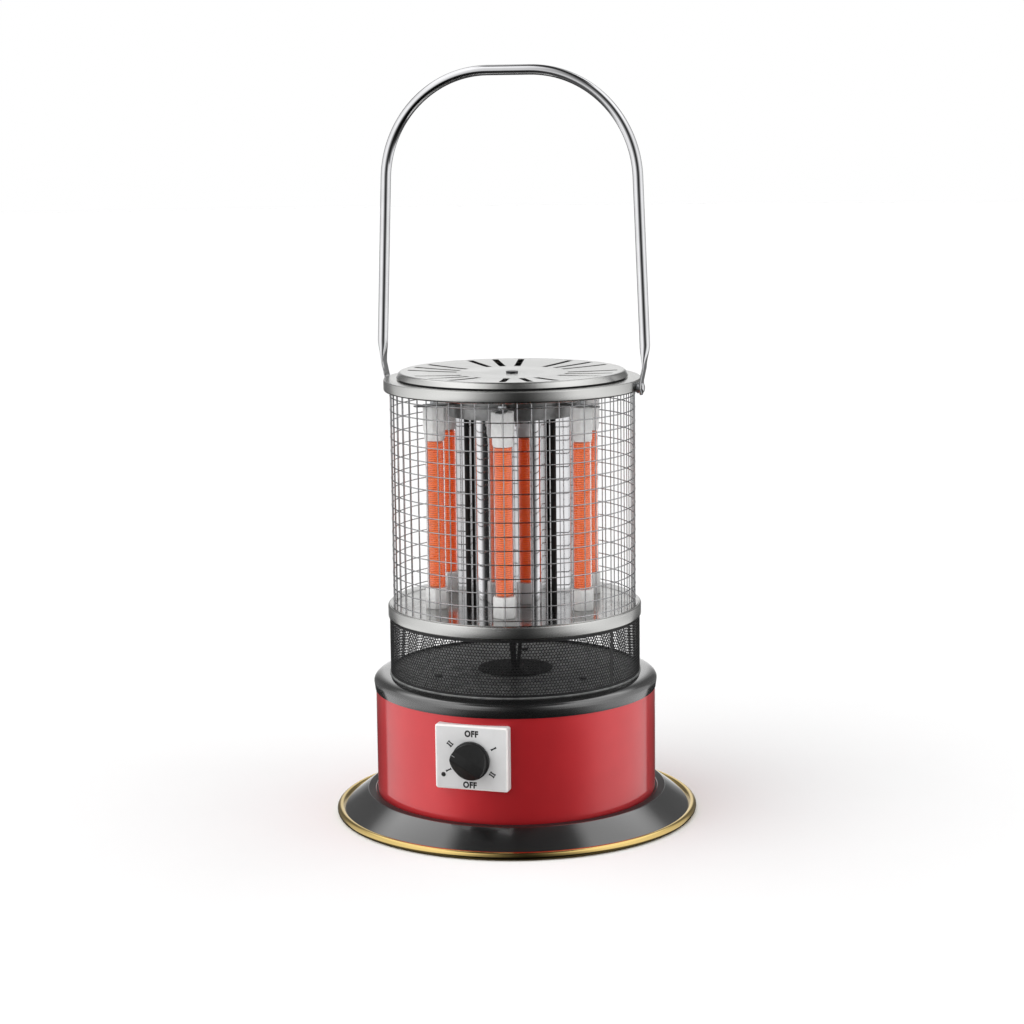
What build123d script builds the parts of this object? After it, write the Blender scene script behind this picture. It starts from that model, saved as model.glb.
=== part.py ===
from build123d import *
import os
from math import cos, pi, radians, sin, sqrt, tan

# A free-standing round quartz heater with a bail handle, in millimetres.
# The floor is at height 0 under the middle of the base, and the knob faces -Y.

# Sheet and wire
steel_sheet = 1.0
thin_sheet = 0.6
deck_sheet = 0.8
mirror_sheet = 0.5
cage_wire = 1.3

# Clearances
seat_gap = 0.1
running_gap = 0.05
moving_gap = 0.4

# Foot
base_radius = 169.5
bead_size = 5.0
foot_height = 2.7
foot_radius = 11.0
foot_inset = 33.5
foot_count = 4
flange_height = 18.8
ledge_width = 9.3
ledge_seat = 9.0
plate_lip = 2.4

# Red wall and shoulder
foot_spread = 38.2
band_height = 97.0
shoulder_height = 14.7
shoulder_bulge = 1.7
shoulder_foot = 0.7
shoulder_facets = 4
shoulder_land = 13.0
shoulder_land_inner = 22.0
shoulder_wall = 3.5

# Skirt and deck
skirt_inset = 14.65
skirt_height = 52.3
skirt_windows = 24
skirt_window_rows = 3
skirt_bar = 5.0
disc_radius = 35.0
mid_ring_height = 12.3
mid_ring_proud = 1.75
mid_ring_lip = 1.0
mid_ring_width = 4.6
floor_lip = 1.4
lead_size = 3.6
lead_spread = 8.0
lead_gather = 2.6
lead_count = 3
upper_lead_radius = 2.4

# Cage
cage_inset = 3.35
mesh_pitch = 12.7
first_ring_height = 3.1
upright_turn = 0.05

# Heating elements
tube_inset = 35.5
tube_turn = 10.5
tube_count = 6
tube_radius = 8.7
tube_wall = 0.5
coil_gap = 0.2
tube_length = 136.5
ceramic_flats = 19.6
lower_ceramic_height = 19.6
upper_ceramic_height = 31.5
neck_radius = 9.3
neck_height = 9.0
round_sides = 12

# Mirror
mirror_gap = 36.1
mirror_lobe_angle = 12.8
mirror_ridge_bend = 9.0
collar_height = 10.0
upper_plate_gap = 16.3

# Cap
cap_room = 11.5
nut_gap = 0.6
rim_height = 10.5
rim_ledge = 18.0
pan_inset = 12.0
pan_slope = 2.9
pan_height = 7.0
pan_dish = 2.8
pan_dish_bend = (54.0, 0.6)
slot_groups = 6
slots_per_group = 3
slot_step = 15.0
slot_turn = 11.8
slot_margin = 7.0
slot_length = 45.5
slot_width = 6.0

# Rod through the upper half
rod_radius = 5.0
rod_bore = 2.6
rod_bore_depth = 14.0
rod_stub = 4.0
nut_flats = 16.0
nut_height = 6.0
cap_screw_head = 5.5
cap_screw_rise = 1.6

# Handle
handle_tube = 9.5
handle_reach = 286.0
handle_bend = 100.0
handle_offset = 3.2
handle_lean = 6.0
handle_straight_end = 39.0
strap_width = 13.0
strap_thickness = 2.2
strap_straight = 6.0
strap_lean = 2.6
strap_top = 18.5
pivot_drop = 7.0
pivot_screw = 5.0
pivot_head = 8.6
pivot_head_height = 1.8
washer_size = 10.0
washer_thickness = 2.7
handle_nut_height = 4.0
handle_nut_flats = 8.0

# Control
plate_width = 68.0
plate_height = 59.0
plate_proud = 5.2
plate_bevel = 1.5
dial_depth = 38.0
dial_drop = 2.0
knob_radius = 17.6
knob_height = 14.5
knob_skirt = 4.5
knob_bar = 9.5
knob_turn = 150.0
knob_step = 1.4
knob_bevel = 1.5
knob_nut_room = 18.0
knob_nut_depth = 3.6
shaft_radius = 3.0
shaft_into_knob = 7.0
bush_radius = 5.0
bush_room = 7.0
switch_width = 34.0
switch_depth = 22.0
switch_back_gap = 4.0
switch_nut_flats = 13.0
switch_nut_height = 2.5

# Inside the base
post_count = 3
post_flats = 8.0
screw_radius = 2.0
screw_flats = 7.0
screw_head_height = 1.6
screw_depth = 8.0
terminal_size = (46.0, 18.0, 14.0)
terminal_place = (26.0, 62.0)
terminal_wells = 3
well_size = 8.0
cutout_radius = 8.5
cutout_height = 7.0
cutout_place = 20.0
tip_place = (-70.0, 0.0)
tip_size = (32.0, 16.0, 26.0)
plunger_radius = 4.0
plunger_collar = 5.4
plunger_collar_height = 2.0
plunger_travel = 5.0
plunger_rise = 0.3
grommet_height = 14.0
grommet_hole = 4.0
grommet_neck = 7.0
grommet_flange = 10.5
grommet_lip = 2.5

# Levels, from the floor up
plate_top = foot_height + steel_sheet
ledge_top = plate_top + flange_height
band_top = ledge_top + band_height
shoulder_top = band_top + shoulder_height
floor_top = shoulder_top + deck_sheet
skirt_top = floor_top + skirt_height
mid_ring_top = skirt_top + mid_ring_height
deck_top = mid_ring_top + deck_sheet
lower_ceramic_top = deck_top + lower_ceramic_height
tube_top = lower_ceramic_top + tube_length
upper_plate_bottom = tube_top + upper_ceramic_height
mirror_top = upper_plate_bottom - collar_height
rim_bottom = upper_plate_bottom + cap_room
rim_top = rim_bottom + rim_height
cap_top = rim_top + pan_height
pan_middle = cap_top - pan_dish
pivot_height = rim_top - pivot_drop
dial_height = band_top - dial_depth

# Radii, from the foot to the middle
band_radius = base_radius - foot_spread
band_inner = band_radius - steel_sheet
ledge_outer = band_radius + ledge_width
plate_front = band_radius + plate_proud
skirt_radius = band_radius - skirt_inset
skirt_inner = skirt_radius - thin_sheet
mid_ring_radius = skirt_radius + mid_ring_proud
floor_radius = skirt_radius + floor_lip
cage_radius = skirt_radius - cage_inset
upper_plate_radius = cage_radius - upper_plate_gap
tube_circle = cage_radius - tube_inset
mirror_facet = tube_circle - mirror_gap
rim_radius = cage_radius + nut_gap + handle_nut_height + steel_sheet
pan_foot_radius = rim_radius - pan_inset
pan_top_radius = pan_foot_radius - pan_slope
slot_outer = pan_top_radius - slot_margin

# Places that more than one piece uses
tube_step = 360 / tube_count
post_turn = tube_turn + tube_step
strap_inner = rim_radius + washer_thickness + 2 * seat_gap
strap_middle = strap_inner + strap_thickness / 2
plunger_top = plate_top + plunger_travel + moving_gap + plunger_collar_height


def turned(*corners):
    """A closed outline of (radius, height) corners, turned about the heater's axis."""
    outline = Polyline(*[(radius, 0, height) for radius, height in corners], close=True)
    return revolve(make_face(outline), Axis.Z, 360)


def disc(radius, low, high, hole=0.0):
    """A flat round sheet between two heights, with or without a hole in its middle."""
    outline = Circle(radius) - Circle(hole) if hole else Circle(radius)
    return Pos(0, 0, low) * extrude(outline, high - low)


def upright_bar(outline, low, high):
    """A straight piece of one section between two heights."""
    return Pos(0, 0, low) * extrude(outline, high - low)


def around(piece, circle, count, turn):
    """Copies of a piece, each moved out to a circle. A turn of 0 is the knob's side, towards +X."""
    step = 360 / count
    return [Rot(0, 0, turn + step * i) * (Pos(0, -circle, 0) * piece) for i in range(count)]


def joined(pieces):
    """One group of separate solids."""
    return Compound(children=list(pieces))


def facing_front(piece):
    """Turns a piece built up along +Z so that it points out of the dial, along -Y."""
    return Pos(0, 0, dial_height) * (Rot(90, 0, 0) * piece)


def facing_back(piece):
    """Turns a piece built up along +Z so that it points out of the cord's hole, along +Y."""
    return Pos(0, 0, ledge_top + grommet_height) * (Rot(-90, 0, 0) * piece)


def hexagon(across_flats):
    """A hexagon with one corner pointing away from the heater's axis."""
    return Rot(0, 0, 30) * RegularPolygon(across_flats / 2, 6, major_radius=False)


def rubber_feet():
    foot = disc(foot_radius, 0, foot_height)
    return joined(around(foot, base_radius - foot_inset, foot_count, 180 / foot_count))


def bottom_plate():
    plate = disc(base_radius - bead_size - plate_lip / 2, foot_height, plate_top)
    hole = Pos(*tip_place, foot_height) * extrude(Circle(plunger_radius + running_gap), steel_sheet)
    screw_hole = upright_bar(Circle(screw_radius + running_gap), foot_height, plate_top)
    plate -= hole
    for cut in around(screw_hole, tube_circle, post_count, post_turn):
        plate -= cut
    return plate


def base_flange():
    outer = base_radius - bead_size
    seat = band_radius - ledge_seat
    slope = (ledge_outer - outer) / flange_height
    inner_corner = ledge_outer - steel_sheet / 2
    return turned(
        (outer, plate_top),
        (outer, plate_top + steel_sheet),
        (ledge_outer, ledge_top),
        (seat, ledge_top),
        (seat, ledge_top - steel_sheet),
        (inner_corner, ledge_top - steel_sheet),
        (inner_corner - slope * (flange_height - steel_sheet), plate_top),
    )


def trim_ring():
    half = bead_size / 2
    middle = base_radius - half
    height = plate_top + steel_sheet / 2
    corner = half * tan(radians(30))
    inner = middle - half + seat_gap
    return turned(
        (inner, height - corner),
        (middle, height - half),
        (middle + half, height - corner),
        (middle + half, height + corner),
        (middle, height + half),
        (inner, height + corner),
    )


def housing_band():
    band = disc(band_radius, ledge_top, band_top, band_inner)
    shaft_hole = upright_bar(Circle(bush_room), band_radius / 2, 2 * band_radius)
    cord_hole = upright_bar(hexagon(2 * (grommet_neck + seat_gap)), band_radius / 2, 2 * band_radius)
    return band - facing_front(shaft_hole) - facing_back(cord_hole)


def shoulder_ring():
    hip = band_top + shoulder_height / 2
    land = band_radius - shoulder_land
    bulge = band_radius + shoulder_bulge
    crown = []
    for i in range(shoulder_facets + 1):
        angle = radians(90 * i / shoulder_facets)
        crown.append((land + (bulge - land) * cos(angle), hip + (shoulder_top - hip) * sin(angle)))
    return turned(
        (band_radius + shoulder_foot, band_top),
        *crown,
        (band_radius - shoulder_land_inner, shoulder_top),
        (band_radius - shoulder_wall, band_top),
    )


def support_posts():
    post = upright_bar(hexagon(post_flats) - Circle(screw_radius + running_gap), plate_top, shoulder_top)
    return joined(around(post, tube_circle, post_count, post_turn))


def post_screws(head_face, direction):
    """The screws into the posts, with their heads on a face, from above or from below."""
    shank = extrude(Circle(screw_radius), screw_depth + deck_sheet)
    head = Pos(0, 0, -screw_head_height) * extrude(hexagon(screw_flats), screw_head_height)
    screw = Pos(0, 0, head_face) * (Rot(90 - 90 * direction, 0, 0) * (shank + head))
    return joined(around(screw, tube_circle, post_count, post_turn))


def perforated_floor():
    floor = disc(floor_radius, shoulder_top, floor_top)
    hole = upright_bar(Circle(screw_radius + running_gap), shoulder_top, floor_top)
    for cut in around(hole, tube_circle, post_count, post_turn):
        floor -= cut
    return floor


def floor_disc():
    return disc(disc_radius, floor_top, floor_top + deck_sheet)


def perforated_skirt():
    """The skirt with a plain grid of windows, which stand for its fine holes."""
    skirt = disc(skirt_radius, floor_top, skirt_top, skirt_inner)
    width = 2 * pi * skirt_radius / skirt_windows - skirt_bar
    height = (skirt_height - skirt_bar) / skirt_window_rows - skirt_bar
    pair = Box(width, 3 * skirt_radius, height)
    for row in range(skirt_window_rows):
        middle = floor_top + skirt_bar + height / 2 + (height + skirt_bar) * row
        for i in range(skirt_windows // 2):
            skirt -= Pos(0, 0, middle) * (Rot(0, 0, 360 / skirt_windows * i) * pair)
    return skirt


def wiring_leads():
    foot = floor_top + deck_sheet
    top = mid_ring_top - nut_height - rod_stub
    lean = Plane((lead_gather, 0, foot), z_dir=(lead_spread - lead_gather, 0, top - foot))
    lead = extrude(lean * Circle(lead_size / 2), 2 * (top - foot), both=True)
    lead &= disc(4 * lead_spread, foot, top)
    lower = [Rot(0, 0, 360 / lead_count * i) * lead for i in range(lead_count)]
    valley = (mirror_facet + deck_sheet + seat_gap + upper_lead_radius) / cos(radians(mirror_lobe_angle))
    upper = upright_bar(Circle(upper_lead_radius), deck_top, upper_plate_bottom)
    return joined(lower + around(upper, valley, tube_count, tube_turn))


def mid_ring():
    inner = mid_ring_radius - mid_ring_width
    return turned(
        (inner, skirt_top),
        (mid_ring_radius - mid_ring_lip, skirt_top),
        (mid_ring_radius, skirt_top + mid_ring_lip),
        (mid_ring_radius, mid_ring_top - mid_ring_lip),
        (mid_ring_radius - mid_ring_lip, mid_ring_top),
        (inner, mid_ring_top),
    )


def element_deck():
    return disc(mid_ring_radius - 2 * mid_ring_lip, mid_ring_top, deck_top, rod_radius + running_gap)


def star(facet):
    """The mirror's six-lobed outline. A facet is the distance of its flat walls from the axis."""
    valley = facet / cos(radians(mirror_lobe_angle))
    ridge = facet / cos(radians(mirror_lobe_angle + tube_step / 2))
    corners = []
    for i in range(tube_count):
        angle = tube_turn - 90 + tube_step * i
        corners.append(Vector(valley, 0, 0).rotate(Axis.Z, angle))
        corners.append(Vector(ridge, 0, 0).rotate(Axis.Z, angle + tube_step / 2))
    outline = make_face(Polyline(*corners, close=True))
    ridges = outline.vertices().sort_by(lambda corner: corner.X ** 2 + corner.Y ** 2)[tube_count:]
    return fillet(ridges, mirror_ridge_bend + facet - mirror_facet)


def reflector():
    return upright_bar(star(mirror_facet) - star(mirror_facet - mirror_sheet), deck_top, mirror_top)


def reflector_collar():
    outside = mirror_facet + deck_sheet
    return upright_bar(star(outside) - star(mirror_facet - mirror_sheet), mirror_top, upper_plate_bottom)


def upper_plate():
    top = upper_plate_bottom + steel_sheet
    return disc(upper_plate_radius, upper_plate_bottom, top, rod_radius + running_gap)


def quartz_tubes():
    tube = upright_bar(Circle(tube_radius) - Circle(tube_radius - tube_wall), lower_ceramic_top, tube_top)
    return joined(around(tube, tube_circle, tube_count, tube_turn))


def heating_coils():
    outline = RegularPolygon(tube_radius - tube_wall - coil_gap, round_sides)
    coil = upright_bar(outline, lower_ceramic_top, tube_top)
    return joined(around(coil, tube_circle, tube_count, tube_turn))


def lower_ceramics():
    block = upright_bar(hexagon(ceramic_flats), deck_top, lower_ceramic_top)
    return joined(around(block, tube_circle, tube_count, tube_turn))


def upper_ceramics():
    neck_top = tube_top + neck_height
    neck = upright_bar(RegularPolygon(neck_radius, round_sides), tube_top, neck_top)
    block = neck + upright_bar(hexagon(ceramic_flats), neck_top, upper_plate_bottom)
    return joined(around(block, tube_circle, tube_count, tube_turn))


def terminal_screws():
    low = upper_plate_bottom + steel_sheet
    tab = upright_bar(Rectangle(screw_flats, ceramic_flats), low, low + deck_sheet)
    head = upright_bar(hexagon(screw_flats), low + deck_sheet, low + deck_sheet + 2 * screw_head_height)
    return joined(around(tab + head, tube_circle, tube_count, tube_turn))


def cage_uprights():
    count = round(2 * pi * cage_radius / mesh_pitch)
    wire = upright_bar(Rectangle(cage_wire, cage_wire), deck_top, rim_top - steel_sheet)
    return joined(around(wire, cage_radius - cage_wire / 2, count, upright_turn))


def cage_rings():
    low = deck_top + first_ring_height
    count = int((rim_bottom - low) / mesh_pitch) + 1
    sides = round(pi * cage_radius / mesh_pitch)
    inner = cage_radius + running_gap / 2
    turn = Rot(0, 0, upright_turn - 90 + 180 / sides)
    outside = RegularPolygon(inner + cage_wire, sides, major_radius=False)
    ring = turn * (outside - RegularPolygon(inner, sides, major_radius=False))
    return joined(upright_bar(ring, low + mesh_pitch * i, low + mesh_pitch * i + cage_wire) for i in range(count))


def cap_rim():
    rim = turned(
        (rim_radius - rim_ledge, rim_top),
        (rim_radius, rim_top),
        (rim_radius, rim_bottom),
        (rim_radius - steel_sheet, rim_bottom),
        (rim_radius - steel_sheet, rim_top - steel_sheet),
        (rim_radius - rim_ledge, rim_top - steel_sheet),
    )
    bore = Rot(0, 90, 0) * Cylinder(pivot_screw / 2 + running_gap, 3 * rim_radius)
    return rim - Pos(0, 0, pivot_height) * bore


def cap_pan():
    hole = rod_bore + running_gap
    flat = 2 * rod_radius
    bend, rise = pan_dish_bend
    pan = turned(
        (hole, pan_middle),
        (flat, pan_middle),
        (bend, pan_middle + rise),
        (pan_top_radius, cap_top),
        (pan_foot_radius, rim_top),
        (pan_foot_radius - steel_sheet, rim_top),
        (pan_top_radius - steel_sheet, cap_top - steel_sheet),
        (bend, pan_middle + rise - steel_sheet),
        (flat, pan_middle - steel_sheet),
        (hole, pan_middle - steel_sheet),
    )
    slot = upright_bar(Rectangle(slot_width, slot_length), rim_top, cap_top)
    for i in range(slots_per_group):
        for cut in around(slot, slot_outer - slot_length / 2, slot_groups, slot_turn + slot_step * i):
            pan -= cut
    return pan


def tie_rod():
    bottom = mid_ring_top - nut_height - rod_stub
    top = pan_middle - steel_sheet
    rod = upright_bar(Circle(rod_radius), bottom, top)
    return rod - upright_bar(Circle(rod_bore), top - rod_bore_depth, top)


def tie_rod_nut():
    outline = hexagon(nut_flats) - Circle(rod_radius + running_gap)
    return upright_bar(outline, mid_ring_top - nut_height, mid_ring_top)


def cap_screw():
    shank = upright_bar(Circle(rod_bore - running_gap), pan_middle - screw_depth, pan_middle)
    return shank + upright_bar(Circle(cap_screw_head), pan_middle, pan_middle + cap_screw_rise)


def handle():
    bend_height = pivot_height + handle_reach - handle_bend
    tube_end = strap_middle + handle_offset
    knee = tube_end - handle_lean
    half_flat = knee - handle_bend
    straight_end = pivot_height + handle_straight_end
    top = pivot_height + handle_reach
    side = 1 / sqrt(2)
    half_path = [
        Line((0, 0, top), (half_flat, 0, top)),
        ThreePointArc(
            (half_flat, 0, top),
            (half_flat + handle_bend * side, 0, bend_height + handle_bend * side),
            (knee, 0, bend_height),
        ),
        Line((knee, 0, bend_height), (tube_end, 0, straight_end)),
    ]
    section = Plane((0, 0, top), z_dir=(1, 0, 0)) * Circle(handle_tube / 2)
    half_tube = sweep(section, Wire(half_path), transition=Transition.ROUND)
    lean = Vector(knee - tube_end, 0, bend_height - straight_end)
    flat = Rectangle(strap_thickness, strap_width)
    strap_bend = Pos(strap_middle, 0, pivot_height + strap_straight) * flat
    strap_end = Pos(strap_middle + strap_lean, 0, pivot_height + strap_top) * flat
    round_end = Plane((tube_end, 0, straight_end), x_dir=(0, 1, 0), z_dir=lean) * Circle(handle_tube / 2)
    neck = loft([strap_bend, strap_end]) + loft([strap_end, round_end])
    eye = Circle(strap_width / 2) + Pos(-strap_straight / 2, 0) * Rectangle(strap_straight, strap_width)
    eye -= Circle(pivot_screw / 2 + running_gap)
    half = half_tube + neck + Pos(strap_inner, 0, pivot_height) * (Rot(0, 90, 0) * extrude(eye, strap_thickness))
    return half + mirror(half, Plane.YZ)


def pivot_pair(piece):
    """A piece built along +X at the pivots' height, and its twin on the other side."""
    right = Pos(0, 0, pivot_height) * (Rot(0, 90, 0) * piece)
    return joined([right, mirror(right, Plane.YZ)])


def handle_screws():
    head_face = strap_inner + strap_thickness + seat_gap
    inner_end = rim_radius - steel_sheet - handle_nut_height
    shank = upright_bar(Circle(pivot_screw / 2), inner_end, head_face)
    head = upright_bar(Circle(pivot_head / 2), head_face, head_face + pivot_head_height)
    return pivot_pair(shank + head)


def handle_washers():
    outline = Circle(washer_size / 2) - Circle(pivot_screw / 2 + running_gap)
    return pivot_pair(upright_bar(outline, rim_radius + seat_gap, rim_radius + seat_gap + washer_thickness))


def handle_nuts():
    sagitta = rim_radius - sqrt(rim_radius ** 2 - pivot_screw ** 2)
    outer = rim_radius - steel_sheet - sagitta
    outline = hexagon(handle_nut_flats) - Circle(pivot_screw / 2 + running_gap)
    return pivot_pair(upright_bar(outline, outer - handle_nut_height + sagitta, outer))


def control_plate():
    outline = Pos(0, dial_drop, band_radius / 2) * Rectangle(plate_width, plate_height)
    block = extrude(outline, plate_front - band_radius / 2)
    front = block.faces().sort_by(Axis.Z)[-1]
    block = chamfer(front.edges(), plate_bevel)
    block -= Pos(0, 0, band_radius / 2) * extrude(Circle(bush_radius + seat_gap), plate_front)
    return facing_front(block) - disc(band_radius + seat_gap, 0, shoulder_top)


def control_knob():
    low = plate_front + moving_gap
    high = low + knob_height
    skirt_top_face = low + knob_skirt
    grip = upright_bar(Circle(knob_radius - knob_step), skirt_top_face, high)
    grip = chamfer(grip.edges().sort_by(Axis.Z)[-1], knob_bevel)
    slopes = Polyline(
        (0, -knob_radius, skirt_top_face),
        (0, -knob_bar / 2, high),
        (0, knob_bar / 2, high),
        (0, knob_radius, skirt_top_face),
        close=True,
    )
    grip &= extrude(make_face(slopes), 2 * knob_radius, both=True)
    body = upright_bar(Circle(knob_radius), low, skirt_top_face) + grip
    body -= upright_bar(hexagon(knob_nut_room), low, low + knob_nut_depth)
    body -= upright_bar(Circle(shaft_radius + running_gap), low, low + shaft_into_knob + knob_nut_depth)
    return facing_front(Rot(0, 0, knob_turn) * body)


def switch_shaft():
    start = band_inner - switch_back_gap - switch_depth / 2
    end = plate_front + moving_gap + knob_nut_depth + shaft_into_knob - running_gap
    return facing_front(upright_bar(Circle(shaft_radius), start, end))


def rotary_switch():
    front = band_inner - switch_back_gap
    body = upright_bar(Rectangle(switch_width, switch_width), front - switch_depth, front)
    bush = upright_bar(Circle(bush_radius), front, plate_front + switch_nut_height)
    bore = upright_bar(Circle(shaft_radius + running_gap), front - switch_depth / 2, plate_front + switch_depth)
    return facing_front(body + bush - bore)


def switch_nut():
    outline = hexagon(switch_nut_flats) - Circle(bush_radius + running_gap)
    return facing_front(upright_bar(outline, plate_front, plate_front + switch_nut_height))


def terminal_block():
    length, width, height = terminal_size
    block = Pos(*terminal_place, plate_top + height / 2) * Box(length, width, height)
    pitch = length / terminal_wells
    for i in range(terminal_wells):
        along = terminal_place[0] + pitch * (i - (terminal_wells - 1) / 2)
        block -= Pos(along, terminal_place[1], plate_top + height) * Box(well_size, well_size, height)
    return block


def thermal_cutout():
    return Pos(cutout_place, 0, 0) * disc(cutout_radius, shoulder_top - cutout_height, shoulder_top)


def tip_switch():
    length, width, height = tip_size
    body = Pos(*tip_place, plate_top + height / 2) * Box(length, width, height)
    guide = upright_bar(Circle(plunger_collar + running_gap), plate_top, plunger_top)
    return body - Pos(*tip_place, 0) * guide


def tip_plunger():
    pin = upright_bar(Circle(plunger_radius), plunger_rise, plunger_top)
    collar = upright_bar(Circle(plunger_collar), plunger_top - plunger_collar_height, plunger_top)
    return Pos(*tip_place, 0) * (pin + collar)


def cord_grommet():
    sagitta = band_inner - sqrt(band_inner ** 2 - grommet_flange ** 2)
    inner_face = band_inner - sagitta - seat_gap
    outer_face = band_radius + seat_gap
    inner_lip = upright_bar(hexagon(2 * grommet_flange), inner_face - grommet_lip, inner_face)
    neck = upright_bar(hexagon(2 * grommet_neck), inner_face, outer_face)
    outer_lip = upright_bar(hexagon(2 * grommet_flange), outer_face, outer_face + grommet_lip)
    bore = upright_bar(Circle(grommet_hole), 0, 2 * band_radius)
    return facing_back(inner_lip + neck + outer_lip - bore)


parts = {
    "rubber_feet": rubber_feet(),
    "bottom_plate": bottom_plate(),
    "base_flange": base_flange(),
    "trim_ring": trim_ring(),
    "housing_band": housing_band(),
    "shoulder_ring": shoulder_ring(),
    "support_posts": support_posts(),
    "base_screws": post_screws(foot_height, 1),
    "floor_screws": post_screws(floor_top, -1),
    "perforated_floor": perforated_floor(),
    "floor_disc": floor_disc(),
    "perforated_skirt": perforated_skirt(),
    "wiring_leads": wiring_leads(),
    "control_plate": control_plate(),
    "control_knob": control_knob(),
    "switch_shaft": switch_shaft(),
    "rotary_switch": rotary_switch(),
    "switch_nut": switch_nut(),
    "terminal_block": terminal_block(),
    "thermal_cutout": thermal_cutout(),
    "tip_switch": tip_switch(),
    "tip_plunger": tip_plunger(),
    "cord_grommet": cord_grommet(),
    "mid_ring": mid_ring(),
    "element_deck": element_deck(),
    "reflector": reflector(),
    "reflector_collar": reflector_collar(),
    "upper_plate": upper_plate(),
    "quartz_tubes": quartz_tubes(),
    "heating_coils": heating_coils(),
    "lower_ceramics": lower_ceramics(),
    "upper_ceramics": upper_ceramics(),
    "terminal_screws": terminal_screws(),
    "cage_uprights": cage_uprights(),
    "cage_rings": cage_rings(),
    "cap_rim": cap_rim(),
    "cap_pan": cap_pan(),
    "tie_rod": tie_rod(),
    "tie_rod_nut": tie_rod_nut(),
    "cap_screw": cap_screw(),
    "handle": handle(),
    "handle_screws": handle_screws(),
    "handle_washers": handle_washers(),
    "handle_nuts": handle_nuts(),
}

os.makedirs("parts", exist_ok=True)
for name, shape in parts.items():
    export_step(shape, f"parts/{name}.step")
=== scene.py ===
"""A free-standing round quartz heater with a bail handle, dressed round its CAD frame.

All modelling is in millimetres. finished() turns each piece to metres at the end.
"""

from math import atan2, copysign, cos, pi, radians, sin, sqrt

import bmesh
import bpy
from bpy.props import FloatProperty, FloatVectorProperty, IntProperty, PointerProperty
from mathutils import Matrix, Vector


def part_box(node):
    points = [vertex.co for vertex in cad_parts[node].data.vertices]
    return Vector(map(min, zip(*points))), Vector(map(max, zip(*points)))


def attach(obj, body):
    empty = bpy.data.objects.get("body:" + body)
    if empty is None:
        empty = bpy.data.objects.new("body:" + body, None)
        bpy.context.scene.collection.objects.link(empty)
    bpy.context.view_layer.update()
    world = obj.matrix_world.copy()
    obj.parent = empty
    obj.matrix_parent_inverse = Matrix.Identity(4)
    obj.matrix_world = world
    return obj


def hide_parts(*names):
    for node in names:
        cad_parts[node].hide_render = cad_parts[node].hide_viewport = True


bl_info = {
    "name": "Quartz Heater",
    "version": (1, 0, 0),
    "blender": (4, 5, 0),
    "location": "3D View > Sidebar > Heater",
    "description": "Models and finishes a round quartz heater on its CAD frame",
    "category": "Object",
}

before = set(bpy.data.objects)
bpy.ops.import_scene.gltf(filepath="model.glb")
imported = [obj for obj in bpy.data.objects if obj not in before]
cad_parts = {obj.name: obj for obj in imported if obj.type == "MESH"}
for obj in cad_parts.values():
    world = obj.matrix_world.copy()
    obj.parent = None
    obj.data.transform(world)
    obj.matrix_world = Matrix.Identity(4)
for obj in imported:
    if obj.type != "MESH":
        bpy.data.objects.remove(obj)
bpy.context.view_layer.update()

MM = 0.001
ROUND_STEPS = 240
SEAM = 0.0005
# A face that points this nearly along an axis, as a cosine, counts as flat
FLAT = 0.97


def linear(code):
    """An sRGB hex colour as linear red, green, blue and alpha."""
    parts = [int(code[i : i + 2], 16) / 255 for i in (0, 2, 4)]
    return tuple(p / 12.92 if p <= 0.04045 else ((p + 0.055) / 1.055) ** 2.4 for p in parts) + (1.0,)


def low(node):
    """A CAD node's lowest corner, in millimetres."""
    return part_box(node)[0] / MM


def high(node):
    """A CAD node's highest corner, in millimetres."""
    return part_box(node)[1] / MM


def middle(node):
    """The middle of a CAD node's box, in millimetres."""
    return (low(node) + high(node)) / 2


def span(node):
    """A CAD node's outer radius, lowest height and highest height, in millimetres."""
    return high(node).x, low(node).z, high(node).z


def colour_property(name, description, code):
    return FloatVectorProperty(
        name=name, description=description, subtype="COLOR", size=4, min=0, max=1, default=linear(code)
    )


def length_property(name, description, millimetres):
    return FloatProperty(name=name, description=description, unit="LENGTH", min=0, default=millimetres * MM)


class HeaterSizes(bpy.types.PropertyGroup):
    """Sizes of the details that the CAD frame doesn't hold."""

    wire: length_property("Cage wire", "Diameter of the cage's welded wire", 1.05)
    hole_pitch: length_property("Hole pitch", "Distance between the holes of the perforated sheets", 3.0)
    skirt_hole: length_property("Skirt hole", "Width of one hole of the punched skirt", 2.3)
    floor_hole: length_property("Floor hole", "Width of one hole of the punched floor", 1.7)
    winding_pitch: length_property("Winding pitch", "Distance between two turns of a heating coil", 2.0)
    winding_wire: length_property("Winding wire", "Diameter of the resistance wire", 1.5)
    slot_width: length_property("Slot width", "Width of the slots in the cap", 6.0)
    pan_rounding: length_property("Cap rounding", "Radius of the cap's pressed edge", 1.8)
    rim_roll: length_property("Rim roll", "Radius of the rim's lower edge", 2.0)
    letter_height: length_property("Letters", "Height of the letters on the dial", 5.6)
    camera_distance: length_property("Camera distance", "Distance of the camera from the heater's axis", 2189.0)
    camera_height: length_property("Camera height", "Height of the camera above the floor", 656.0)
    camera_turn: FloatProperty(
        name="Camera turn", description="Turn of the camera round the heater", subtype="ANGLE", default=radians(17.2)
    )
    uprights: IntProperty(name="Uprights", description="Upright wires in the cage", min=3, default=56)
    hoops: IntProperty(name="Hoops", description="Round wires in the cage", min=2, default=16)


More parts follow.
